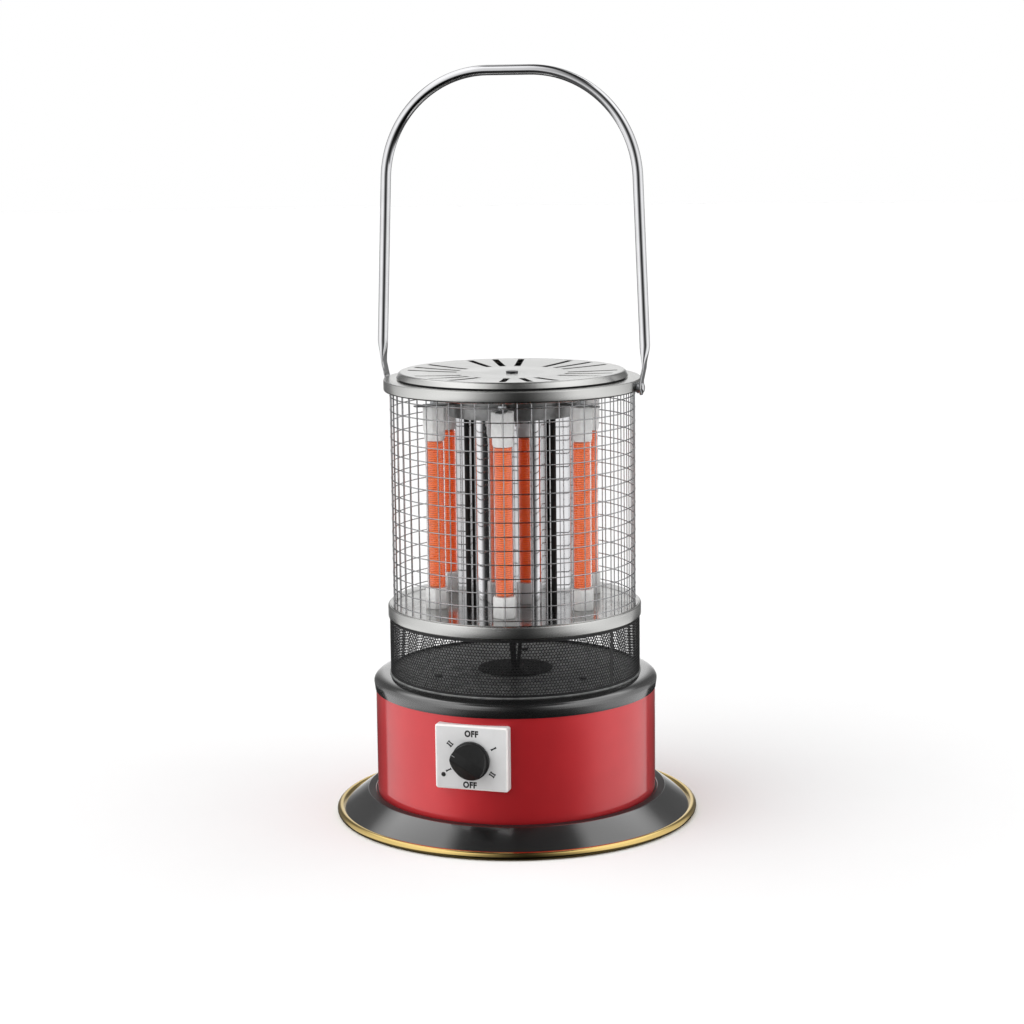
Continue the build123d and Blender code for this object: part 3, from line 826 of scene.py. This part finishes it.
class MirrorOperator(bpy.types.Operator):
    """Folded mirror and its collar"""

    bl_idname = "heater.mirror"
    bl_label = "Mirror"

    facet = 41.7
    lobe_angle = 12.8
    ridge_bend = 9.0
    sheet = 0.5
    hem, hem_proud = 1.5, 0.6
    drum = 60.0
    drum_inset, drum_bend = 0.6, 0.8
    drum_top = 407.0
    tongue, tongue_bend = 9.0, 3.0
    root = 6.0
    rod_hole = 3.5
    plate_sheet = 1.0
    collar_drop = 1.4

    def execute(self, context):
        bottom, top = span("reflector")[1:]
        wall = self.lobed_wall(self.facet, bottom, top, self.sheet)
        hem = self.lobed_wall(self.facet + self.hem_proud, top - self.hem, top, self.sheet)
        finished("mirror", merged([wall, hem]), "mirror_steel", "reflector", sharp=15, outward=False)
        foot = low("reflector_collar").z - self.collar_drop
        collar = square_ring(self.drum - self.plate_sheet, self.drum, foot, high("reflector_collar").z)
        finished("mirror_collar", collar, "dark_steel", "reflector_collar")
        self.make_plate()
        return {"FINISHED"}

    def make_plate(self):
        """The plate over the tubes: a disc with a tongue to each tube, and the closed drum that stands on it."""
        reach, bottom, top = span("upper_plate")
        disc = prism(120, self.drum, bottom, top)
        length = reach - self.drum + self.root
        tongue = moved(block(self.tongue, length, top - bottom), y=length / 2 - reach, z=(top + bottom) / 2)
        soften(tongue, self.tongue_bend, 4, where=lambda e: e.verts[0].co.y < 1 - reach and not level(e))
        ringed(tongue, 6, ElementsOperator.turn)
        finished("tongued_plate", merged([disc, tongue]), "dark_steel", "upper_plate")
        side, roof, hole = self.drum - self.drum_inset, self.drum_top, self.rod_hole
        inner, ceiling = side - self.plate_sheet, roof - self.plate_sheet
        drum = lathe([(hole, roof), (side, roof), (side, top), (inner, top), (inner, ceiling), (hole, ceiling)])
        finished("inner_drum", soften(drum, self.drum_bend), "dark_steel")

    def lobed_wall(self, facet, bottom, top, sheet):
        """An upright wall of six flat-sided lobes, one behind each tube, its ridges bent round."""
        bend = self.ridge_bend + facet - self.facet
        ridge = (facet - bend) / cos(radians(self.lobe_angle + 30))
        steps = 12
        bm = bmesh.new()
        bm.verts.new((facet / cos(radians(self.lobe_angle)), 0, bottom))
        for i in range(steps + 1):
            angle = radians(-self.lobe_angle + (60 + 2 * self.lobe_angle) * i / steps)
            corner = (ridge * cos(radians(30)) + bend * cos(angle), ridge * sin(radians(30)) + bend * sin(angle))
            bm.verts.new((*corner, bottom))
        bm.verts.ensure_lookup_table()
        for first, second in zip(bm.verts[:-1], bm.verts[1:]):
            bm.edges.new((first, second))
        next_valley = bm.verts.new(Matrix.Rotation(radians(60), 3, "Z") @ bm.verts[0].co)
        bm.verts.ensure_lookup_table()
        bm.edges.new((bm.verts[-2], next_valley))
        lip = bmesh.ops.extrude_edge_only(bm, edges=bm.edges[:])["geom"]
        bmesh.ops.translate(bm, vec=(0, 0, top - bottom), verts=verts_in(lip))
        ringed(bm, 6, ElementsOperator.turn - 90)
        return thickened(bm, sheet)


class ElementsOperator(bpy.types.Operator):
    """Quartz tubes, their windings, end blocks and terminals"""

    bl_idname = "heater.elements"
    bl_label = "Heating elements"

    circle = 77.8
    turn = 10.5
    tube_radius = 8.7
    tube_wall = 0.5
    winding_radius = 8.0
    block_flats = 19.6
    block_edge = 0.7
    neck_radius = 9.6
    neck_height = 9.5
    neck_taper = (0.9, 2.0)

    def execute(self, context):
        bottom, top = span("quartz_tubes")[1:]
        inner = self.tube_radius - self.tube_wall
        tube = square_ring(inner, self.tube_radius, bottom, top, 48)
        self.six("quartz_tubes", tube, "quartz_glass", "quartz_tubes")
        self.six("hot_windings", self.winding(bottom, top), "hot_wire", "heating_coils")
        # Painted shade: a darker rod inside each coil, seen through the gaps between the turns
        gap_shade = prism(32, self.winding_radius - 1.0, bottom + 0.5, top - 0.5)
        self.six("winding_cores", gap_shade, "winding_core", slot="hot_wire")

        hexagon = self.block_flats / sqrt(3)
        lower = prism(6, hexagon, *span("lower_ceramics")[1:])
        self.six("lower_blocks", soften(lower, self.block_edge, 2), "ceramic", "lower_ceramics")
        foot, head = span("upper_ceramics")[1:]
        collar = foot + self.neck_height
        radius = self.neck_radius
        taper, rise = self.neck_taper
        neck = lathe([(0, foot), (radius - taper, foot), (radius, foot + rise), (radius, collar), (0, collar)], 48)
        upper = soften(prism(6, hexagon, collar - 0.5, head), self.block_edge, 2)
        self.six("upper_blocks", merged([neck, upper]), "ceramic", "upper_ceramics")
        coated("zinc_steel", "terminal_screws")
        return {"FINISHED"}

    def winding(self, bottom, top):
        """A close coil of round wire, its ends closed."""
        pitch, wire = size("winding_pitch"), size("winding_wire")
        turns = int((top - bottom - 2) / pitch)
        per_turn = 20
        coil = bmesh.new()
        bmesh.ops.create_circle(coil, segments=6, radius=wire / 2)
        turned(coil, 90, "X")
        moved(coil, self.winding_radius - wire / 2, 0, bottom + 1)
        bmesh.ops.spin(
            coil,
            geom=everything(coil),
            cent=(0, 0, 0),
            axis=(0, 0, 1),
            dvec=(0, 0, pitch / per_turn),
            angle=2 * pi * turns,
            steps=per_turn * turns,
        )
        bmesh.ops.holes_fill(coil, edges=[e for e in coil.edges if e.is_boundary], sides=0)
        return coil

    def six(self, name, bm, coat, *nodes, slot=None):
        moved(bm, y=-self.circle)
        ringed(bm, 6, self.turn)
        finished(name, bm, coat, *nodes, slot=slot)


class CageOperator(bpy.types.Operator):
    """Welded wire cage"""

    bl_idname = "heater.cage"
    bl_label = "Cage"

    upright_turn = 0.05
    weld = 0.25

    def execute(self, context):
        wire = size("wire")
        outside, bottom, top = span("cage_uprights")
        upright = moved(prism(8, wire / 2, bottom, top), y=-outside + wire / 2)
        ringed(upright, count("uprights"), self.upright_turn)
        finished("cage_uprights", upright, "cage_wire", "cage_uprights", sharp=60)

        bottom, top = span("cage_rings")[1:]
        pitch = (top - bottom - wire) / (count("hoops") - 1)
        heights = [bottom + wire / 2 + pitch * i for i in range(count("hoops"))]
        hoops = merged(lathe(round_wire(outside - self.weld, height, wire / 2, 8), 168) for height in heights)
        finished("cage_hoops", hoops, "cage_wire", "cage_rings", sharp=60)
        return {"FINISHED"}


class CapOperator(bpy.types.Operator):
    """Steel rim and the slotted cap"""

    bl_idname = "heater.cap"
    bl_label = "Cap"

    ledge = 18.0
    lip = 5.0
    sheet = 1.0
    upper_bend = 1.0
    pan_sheet = 0.8
    screw_hole = 2.7
    crest_inset = 2.9
    dish = 2.8
    dish_start = 10.0
    recess = 1.5
    hem = 3.0
    # Black ring of painted shade under the cap's edge: how far in from the pan's foot, and its width
    gasket_inset, gasket_width = 2.6, 2.0
    slots = (51.5, 97.0)
    slot_turn = 11.8

    def execute(self, context):
        rim, bottom, top = span("cap_rim")
        inner, lip, sheet = rim - self.ledge, rim - self.lip, self.sheet
        ring = lathe([
            (inner, top), (rim, top), (rim, bottom), (lip, bottom), (lip, bottom + sheet),
            (rim - sheet, bottom + sheet), (rim - sheet, top - sheet), (inner, top - sheet),
        ])
        for height, bend in ((bottom, size("rim_roll")), (top, self.upper_bend)):
            soften(ring, bend, 5, where=lambda e: flat_at(e, height) and e.verts[0].co.xy.length > rim - 0.01)
        finished("cap_rim", ring, "brushed_steel", "cap_rim")
        self.make_pan()
        coated("dark_screw", "cap_screw")
        coated("zinc_steel", "tie_rod", "tie_rod_nut")
        return {"FINISHED"}

    def make_pan(self):
        foot, bottom, top = span("cap_pan")
        crest = foot - self.crest_inset
        reach = crest - self.dish_start
        outline = [(self.screw_hole, top - self.dish), (self.dish_start, top - self.dish)]
        for i in range(1, 11):
            outline.append((self.dish_start + reach * i / 10, top - self.dish + self.dish * (i / 10) ** 2))
        edge = bottom + self.recess
        pan = lathe([*outline, (foot, edge), (foot - self.hem, edge)], closed=False)
        soften(pan, size("pan_rounding"), 4, 20, where=lambda e: all(v.co.z > edge + 1 for v in e.verts))
        for group in range(6):
            for i in range(3):
                self.cut_slot(pan, radians(self.slot_turn + 15 * i + 60 * group))
        thickened(pan, self.pan_sheet)
        finished("cap_pan", pan, "brushed_steel", "cap_pan", outward=False)
        # Painted shade: a black ring fills the gap under the cap's edge, where there is only shade
        neck = foot - self.gasket_inset
        gasket = square_ring(neck - self.gasket_width, neck, bottom - 0.1, edge + 0.2)
        finished("cap_gasket", gasket, "rubber", slot="dark_steel")

    def cut_slot(self, pan, turn):
        """A straight, square-ended cut along a radius."""
        inner, outer = self.slots
        half = size("slot_width") / 2
        along = Vector((sin(turn), -cos(turn), 0))
        across = Vector((cos(turn), sin(turn), 0))

        def inside(point, room=0.0):
            return inner - room < point.dot(along) < outer + room and abs(point.dot(across)) < half + room

        cuts = ((along * inner, -along), (along * outer, along), (across * half, across), (across * -half, -across))
        for edge, normal in cuts:
            faces = [
                f for f in pan.faces if any(inside(v, 8) for v in [f.calc_center_median(), *(v.co for v in f.verts)])
            ]
            edges = list({e for f in faces for e in f.edges})
            verts = list({v for f in faces for v in f.verts})
            bmesh.ops.bisect_plane(pan, geom=verts + edges + faces, dist=SEAM, plane_co=edge, plane_no=normal)
        cleared(pan, lambda f: inside(f.calc_center_median()))


class HandleOperator(bpy.types.Operator):
    """Bail handle and its pivots"""

    bl_idname = "heater.handle"
    bl_label = "Handle"

    tube = 9.5
    bend = 100.0
    reach = 286.0
    knee = 120.1
    # Distance from the middle and height over the pivot: end of the round tube, end of the flattening,
    # and the bend over the eye
    tube_end = (126.1, 39.0)
    flat_end = (125.5, 18.5)
    strap_end = (122.9, 6.0)
    strap = (2.2, 13.0)
    head_height, shank_radius, shank_end = 1.8, 2.5, 12.0

    def execute(self, context):
        pivot = middle("handle_screws").z
        self.make_bail(pivot)
        self.make_screws(pivot)
        coated("zinc_steel", "handle_washers", "handle_nuts")
        return {"FINISHED"}

    def make_bail(self, pivot):
        top = pivot + self.reach
        half_flat = self.knee - self.bend
        elbow = Vector((self.tube_end[0], 0, pivot + self.tube_end[1]))
        lean = atan2(elbow.x - self.knee, top - self.bend - elbow.z)
        bm = bmesh.new()
        bmesh.ops.create_circle(bm, segments=32, radius=self.tube / 2)
        turned(bm, 90, "Y")
        moved(bm, z=top)
        edges = self.drawn(bm, bm.edges[:], (half_flat, 0, 0))
        spun = bmesh.ops.spin(
            bm,
            geom=edges + list({v for e in edges for v in e.verts}),
            cent=(half_flat, 0, top - self.bend),
            axis=(0, 1, 0),
            angle=pi / 2 - lean,
            steps=36,
        )["geom_last"]
        edges = [g for g in spun if isinstance(g, bmesh.types.BMEdge)]
        edges = self.drawn(bm, edges, elbow - self.centre_of(edges))

        round_section = (self.tube / 2, self.tube / 2, 1.0)
        flat_section = (self.strap[0] / 2, self.strap[1] / 2, 0.4)
        section = round_section
        flat_end = Vector((self.flat_end[0], 0, pivot + self.flat_end[1]))
        steps = 12
        for i in range(1, steps + 1):
            share = i / steps
            ease = share**2 * (3 - 2 * share)
            edges = self.drawn(bm, edges, elbow.lerp(flat_end, share) - self.centre_of(edges))
            new = tuple(a + (b - a) * ease for a, b in zip(round_section, flat_section))
            self.reshaped(edges, section, new)
            section = new
        eye = Vector((self.strap_end[0], 0, pivot + self.strap_end[1]))
        edges = self.drawn(bm, edges, eye - self.centre_of(edges))
        edges = self.drawn(bm, edges, (0, 0, -self.strap_end[1]))
        down = 0.0
        for share in (0.25, 0.45, 0.62, 0.76, 0.87, 0.95, 0.99):
            edges = self.drawn(bm, edges, (0, 0, -self.strap[1] / 2 * (share - down)))
            down = share
            new = (flat_section[0], self.strap[1] / 2 * sqrt(1 - share**2), flat_section[2])
            self.reshaped(edges, section, new)
            section = new
        bmesh.ops.holes_fill(bm, edges=edges, sides=0)
        bmesh.ops.mirror(bm, geom=everything(bm), axis="X", merge_dist=SEAM)
        finished("bail_handle", bm, "chrome", "handle", body="handle", sharp=40)

    def centre_of(self, edges):
        verts = {v for e in edges for v in e.verts}
        return sum((v.co for v in verts), Vector()) / len(verts)

    def drawn(self, bm, edges, step):
        """Draws the open end of the tube out along a step."""
        made = bmesh.ops.extrude_edge_only(bm, edges=edges)["geom"]
        bmesh.ops.translate(bm, vec=step, verts=verts_in(made))
        return [g for g in made if isinstance(g, bmesh.types.BMEdge)]

    def reshaped(self, edges, old, new):
        """Presses the open end from one section to another: half thickness, half width, and 1 round to 0 square."""
        verts = {v for e in edges for v in e.verts}
        centre = self.centre_of(edges)
        for v in verts:
            for axis in (0, 1):
                offset = v.co[axis] - centre[axis]
                share = min(1, abs(offset) / old[axis]) ** (new[2] / old[2])
                v.co[axis] = centre[axis] + copysign(share * new[axis], offset)

    def make_screws(self, pivot):
        outer = high("handle_screws").x
        face = outer - self.head_height
        radius = (high("handle_screws").z - low("handle_screws").z) / 2
        head = lathe([(0, face), (radius, face), (radius, face + 0.6), (radius - 1.2, face + 1.4), (0, outer)], 32)
        soften(head, 0.4, 2, 15, where=lambda e: all(v.co.xy.length > 1 and v.co.z > face + 0.3 for v in e.verts))
        shank = prism(24, self.shank_radius, low("handle_screws").x + 2 * outer - self.shank_end, face)
        screw = turned(merged([head, shank]), 90, "Y")
        moved(screw, z=pivot)
        bmesh.ops.mirror(screw, geom=everything(screw), axis="X", merge_dist=-1)
        finished("pivot_screws", screw, "chrome", "handle_screws")


class InsideOperator(bpy.types.Operator):
    """Finishes of the parts inside the base"""

    bl_idname = "heater.inside"
    bl_label = "Inside the base"

    skin_radius, skin_proud = 4.3, 0.6

    def execute(self, context):
        coated("switch_plastic", "rotary_switch", "terminal_block", "thermal_cutout", "tip_switch", "tip_plunger")
        coated("zinc_steel", "support_posts")
        coated("rubber", "cord_grommet")
        # The inlet has no cord in it, so a thin skin closes it
        inlet = middle("cord_grommet")
        wall = high("housing_band").x
        skin = prism(24, self.skin_radius, wall - 0.5, wall + self.skin_proud)
        moved(turned(skin, -90, "X"), inlet.x, 0, inlet.z)
        finished("inlet_skin", skin, "rubber")
        return {"FINISHED"}


class StageOperator(bpy.types.Operator):
    """Floor, backdrop, lights and camera"""

    bl_idname = "heater.stage"
    bl_label = "Stage"

    # Light by degrees to each side of the dark gap in front: below the horizon, level with it and high up
    lights = {
        "low": (
            (0, 0.01), (30, 0.05), (44, 0.15), (54, 0.4), (66, 0.82), (76, 1.05), (92, 1.1), (102, 1.12),
            (116, 1.1), (126, 1.0), (133, 0.9), (137, 0.03), (165, 0.03), (172, 0.3), (180, 0.5),
        ),
        "level": (
            (0, 0.02), (8, 0.04), (18, 0.17), (30, 0.42), (42, 0.88), (50, 1.22), (60, 1.26), (78, 1.22),
            (92, 1.06), (102, 1.06), (116, 0.84), (132, 0.66), (138, 0.24), (160, 0.14), (166, 0.34), (172, 0.9),
            (180, 1.0),
        ),
        "high": (
            (0, 0.02), (20, 0.16), (40, 1.0), (60, 1.5), (80, 1.5), (120, 1.25), (132, 1.5), (140, 1.8),
            (146, 1.4), (155, 0.7), (164, 0.4), (170, 0.2), (176, 0.03), (180, 0.02),
        ),
    }
    brightest = 2.5
    gap_turn = 6
    # Axis (0 right, 2 up), the heights or sides where each fade begins and ends, and its share there
    fades = {
        "level": (2, -0.255, -0.225, 0.0, 1.0),
        "high": (2, 0.53, 0.68, 0.0, 1.0),
        "ground": (2, -0.5, -0.36, 0.1, 1.0),
        "overhead": (2, 0.905, 0.94, 1.0, 0.06),
        "sideways": (0, -1.0, 1.0, 1.04, 0.98),
    }
    floor_radius = 14.0
    sun_width, sun_energy, sun_turn = 70, 1.5, (24, -12)
    pitch, yaw, roll = 9.65, 0.04, -0.66
    focal_pixels = 2383

    def execute(self, context):
        self.make_floor()
        self.make_backdrop()
        self.make_world()
        self.make_lights()
        self.make_camera()
        context.scene.view_settings.view_transform = "Standard"
        context.scene.view_settings.look = "None"
        return {"FINISHED"}

    def stage_piece(self, name, bm, material):
        piece = smooth_object(name, bm, material)
        return piece

    def make_floor(self):
        material = surface("studio_floor", "floor", 0.985, (0.8, 0.95), 300, 2, 0.002)
        bm = bmesh.new()
        bmesh.ops.create_circle(bm, cap_ends=True, segments=64, radius=self.floor_radius)
        piece = self.stage_piece("studio_floor", bm, material)
        piece.visible_glossy = False

    def make_backdrop(self):
        """A pale dome far behind everything, seen but throwing no light."""
        material, tree = new_material("studio_backdrop")[:2]
        glow = add_node(tree, "Emission", Color=linear("FFFFFF"), Strength=1.0)
        add_node(tree, "OutputMaterial", Surface=(glow, 0))
        bm = bmesh.new()
        bmesh.ops.create_icosphere(bm, subdivisions=4, radius=self.floor_radius + 0.5)
        piece = self.stage_piece("studio_backdrop", bm, material)
        for kind in ("diffuse", "glossy", "shadow", "volume_scatter"):
            setattr(piece, "visible_" + kind, False)

    def make_world(self):
        """Two tall soft boxes, left and right of the camera, with a dark gap in front and a dark back."""
        world = bpy.data.worlds.new("studio")
        world.use_nodes = True
        bpy.context.scene.world = world
        tree = world.node_tree
        tree.nodes.clear()
        place = add_node(tree, "TexCoord")
        turn = bpy.context.scene.heater_sizes.camera_turn
        ahead = add_node(tree, "VectorRotate", {"rotation_type": "Z_AXIS"}, Vector=(place, "Generated"), Angle=-turn)
        split = add_node(tree, "SeparateXYZ", Vector=(ahead, 0))
        front = add_node(tree, "Math:MULTIPLY", in0=(split, 1), in1=-1.0)
        angle = add_node(tree, "Math:ARCTAN2", in0=(split, 0), in1=(front, 0))
        # The gap lies a little to the right, the boxes' far edges don't
        half = radians(self.gap_turn) / 2
        shift = add_node(tree, "Math:MULTIPLY_ADD", in0=(front, 0), in1=-half, in2=-half)
        moved_angle = add_node(tree, "Math:ADD", in0=(angle, 0), in1=(shift, 0))
        side = add_node(tree, "Math:ABSOLUTE", in0=(moved_angle, 0))
        share = add_node(tree, "Math:DIVIDE", in0=(side, 0), in1=pi)
        ramps = {name: self.light_ramp(tree, share, stops) for name, stops in self.lights.items()}
        fades = {
            name: (add_node(tree, "MapRange", Value=(split, axis), From_Min=a, From_Max=b, To_Min=c, To_Max=d), 0)
            for name, (axis, a, b, c, d) in self.fades.items()
        }
        light = (ramps["low"], 0)
        for name in ("level", "high"):
            mix = add_node(tree, "Mix", {"data_type": "RGBA"}, in0=fades[name], in6=light, in7=(ramps[name], 0))
            light = (mix, 2)
        strength = fades["ground"]
        for factor in (fades["overhead"], fades["sideways"], self.brightest):
            strength = (add_node(tree, "Math:MULTIPLY", in0=strength, in1=factor), 0)
        shine = add_node(tree, "Background", Color=light, Strength=strength)
        add_node(tree, "OutputWorld", Surface=(shine, 0))

    def light_ramp(self, tree, share, stops):
        """Light round the horizon, from straight in front, 0, to straight behind, 1."""
        ramp = add_node(tree, "ValToRGB", Fac=(share, 0))
        elements = ramp.color_ramp.elements
        for degrees, light in stops:
            place = degrees / 180
            stop = elements[0] if place == 0 else elements[-1] if place == 1 else elements.new(place)
            stop.color = (*[light / self.brightest] * 3, 1)
        return ramp

    def make_lights(self):
        """A wide, soft light from above and the left, which whitens the floor."""
        light = bpy.data.lights.new("sky_light", "SUN")
        light.angle = radians(self.sun_width)
        light.energy = self.sun_energy
        lamp = placed("sky_light", light)
        lamp.rotation_euler = (*(radians(turn) for turn in self.sun_turn), 0)
        lamp.visible_glossy = False

    def make_camera(self):
        """The camera's place and lens, found by fitting the base, wall and cap circles of the photograph."""
        sizes = bpy.context.scene.heater_sizes
        turn, pitch, roll = sizes.camera_turn, radians(self.pitch), radians(self.roll)
        place = Vector((sizes.camera_distance * sin(turn), -sizes.camera_distance * cos(turn), sizes.camera_height))
        heading = turn + radians(self.yaw)
        ahead = Vector((-sin(heading) * cos(pitch), cos(heading) * cos(pitch), -sin(pitch)))
        right = Vector((cos(heading), sin(heading), 0))
        up = right.cross(ahead)
        rolled_right = right * cos(roll) + up * sin(roll)
        rolled_up = up * cos(roll) - right * sin(roll)
        data = bpy.data.cameras.new("camera")
        data.sensor_width = 36
        data.lens = 36 * self.focal_pixels / 1024
        data.clip_end = 100
        camera = placed("camera", data)
        matrix = Matrix((rolled_right, rolled_up, -ahead)).transposed().to_4x4()
        matrix.translation = place
        camera.matrix_world = matrix
        bpy.context.scene.camera = camera


pieces = (
    FootOperator,
    WallOperator,
    DialOperator,
    PunchedOperator,
    DeckOperator,
    MirrorOperator,
    ElementsOperator,
    CageOperator,
    CapOperator,
    HandleOperator,
    InsideOperator,
    StageOperator,
)


class HeaterPanel(bpy.types.Panel):
    """Lists the heater's pieces in the sidebar"""

    bl_idname = "VIEW3D_PT_heater"
    bl_label = "Quartz Heater"
    bl_space_type = "VIEW_3D"
    bl_region_type = "UI"
    bl_category = "Heater"

    def draw(self, context):
        for piece in pieces:
            self.layout.operator(piece.bl_idname)
        for group in (context.scene.heater_sizes, context.scene.heater_colours):
            for name in group.__annotations__:
                self.layout.prop(group, name)


classes = (HeaterSizes, HeaterColours, *pieces, HeaterPanel)


def register():
    for cls in classes:
        bpy.utils.register_class(cls)
    bpy.types.Scene.heater_sizes = PointerProperty(type=HeaterSizes)
    bpy.types.Scene.heater_colours = PointerProperty(type=HeaterColours)


def unregister():
    del bpy.types.Scene.heater_colours
    del bpy.types.Scene.heater_sizes
    for cls in reversed(classes):
        bpy.utils.unregister_class(cls)


def main():
    """Makes every piece in order."""
    register()
    for piece in pieces:
        group, name = piece.bl_idname.split(".")
        getattr(getattr(bpy.ops, group), name)()


if __name__ == "__main__":
    main()
